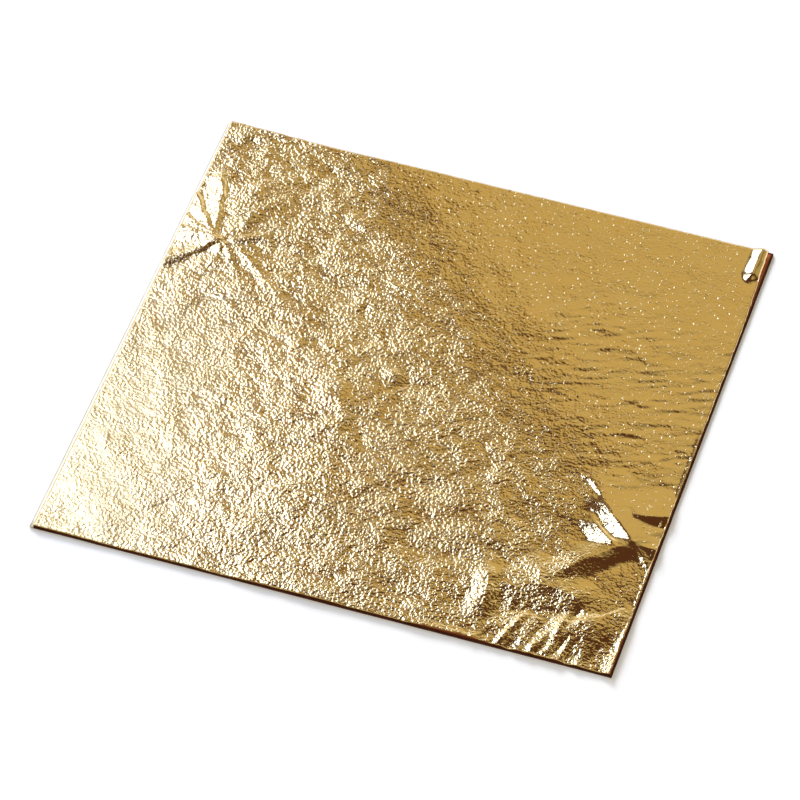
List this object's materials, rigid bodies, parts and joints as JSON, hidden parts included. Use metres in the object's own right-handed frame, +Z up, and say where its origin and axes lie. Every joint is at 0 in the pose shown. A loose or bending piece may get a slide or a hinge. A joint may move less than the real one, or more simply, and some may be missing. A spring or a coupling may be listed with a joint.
{
  "type": "gold leaf booklet",
  "caption": "Small square booklet of loose gold leaves on rouged tissue pages, bound along one edge and open at its bare, crinkled first leaf.",
  "frame": {"origin": "on the flat underside of the backing sheet, under the middle of the booklet's outline", "axes": "+X from the bound edge to the fore edge, +Y from the foot edge to the head edge, +Z up out of the first leaf"},
  "size_m": [0.0808, 0.08, 0.0011],
  "materials": {
    "gold_leaf": "polished",
    "rouged_tissue": "matte",
    "backing_paper": "matte",
    "padding_adhesive": "satin"
  },
  "bodies": {
    "block": {"backing_sheet": "backing_paper", "spine_binding": "padding_adhesive"},
    "page_10": {"tissue_page_10": "rouged_tissue", "gold_leaf_10": "gold_leaf"},
    "page_09": {"tissue_page_09": "rouged_tissue", "gold_leaf_09": "gold_leaf"},
    "page_08": {"tissue_page_08": "rouged_tissue", "gold_leaf_08": "gold_leaf"},
    "page_07": {"tissue_page_07": "rouged_tissue", "gold_leaf_07": "gold_leaf"},
    "page_06": {"tissue_page_06": "rouged_tissue", "gold_leaf_06": "gold_leaf"},
    "page_05": {"tissue_page_05": "rouged_tissue", "gold_leaf_05": "gold_leaf"},
    "page_04": {"tissue_page_04": "rouged_tissue", "gold_leaf_04": "gold_leaf"},
    "page_03": {"tissue_page_03": "rouged_tissue", "gold_leaf_03": "gold_leaf"},
    "page_02": {"tissue_page_02": "rouged_tissue", "gold_leaf_02": "gold_leaf"},
    "page_01": {"tissue_page_01": "rouged_tissue"},
    "first_leaf": {"gold_leaf_01": "gold_leaf"}
  },
  "joints": [
    {"name": "page_10_turn", "type": "hinge", "parent": "block", "child": "page_10", "pos_m": [-0.04022, 0, 0.00037], "axis": [0, -1, 0], "range_deg": [0, 180]},
    {"name": "page_09_turn", "type": "hinge", "parent": "page_10", "child": "page_09", "pos_m": [-0.04022, 0, 0.00037], "axis": [0, -1, 0], "range_deg": [0, 180]},
    {"name": "page_08_turn", "type": "hinge", "parent": "page_09", "child": "page_08", "pos_m": [-0.04022, 0, 0.00037], "axis": [0, -1, 0], "range_deg": [0, 180]},
    {"name": "page_07_turn", "type": "hinge", "parent": "page_08", "child": "page_07", "pos_m": [-0.04022, 0, 0.00037], "axis": [0, -1, 0], "range_deg": [0, 180]},
    {"name": "page_06_turn", "type": "hinge", "parent": "page_07", "child": "page_06", "pos_m": [-0.04022, 0, 0.00037], "axis": [0, -1, 0], "range_deg": [0, 180]},
    {"name": "page_05_turn", "type": "hinge", "parent": "page_06", "child": "page_05", "pos_m": [-0.04022, 0, 0.00037], "axis": [0, -1, 0], "range_deg": [0, 180]},
    {"name": "page_04_turn", "type": "hinge", "parent": "page_05", "child": "page_04", "pos_m": [-0.04022, 0, 0.00037], "axis": [0, -1, 0], "range_deg": [0, 180]},
    {"name": "page_03_turn", "type": "hinge", "parent": "page_04", "child": "page_03", "pos_m": [-0.04022, 0, 0.00037], "axis": [0, -1, 0], "range_deg": [0, 180]},
    {"name": "page_02_turn", "type": "hinge", "parent": "page_03", "child": "page_02", "pos_m": [-0.04022, 0, 0.00037], "axis": [0, -1, 0], "range_deg": [0, 180]},
    {"name": "page_01_turn", "type": "hinge", "parent": "page_02", "child": "page_01", "pos_m": [-0.04022, 0, 0.00037], "axis": [0, -1, 0], "range_deg": [0, 180]},
    {"name": "first_leaf_lift", "type": "slide", "parent": "page_01", "child": "first_leaf", "axis": [0, 0, 1], "range_m": [0, 0.03]}
  ]
}
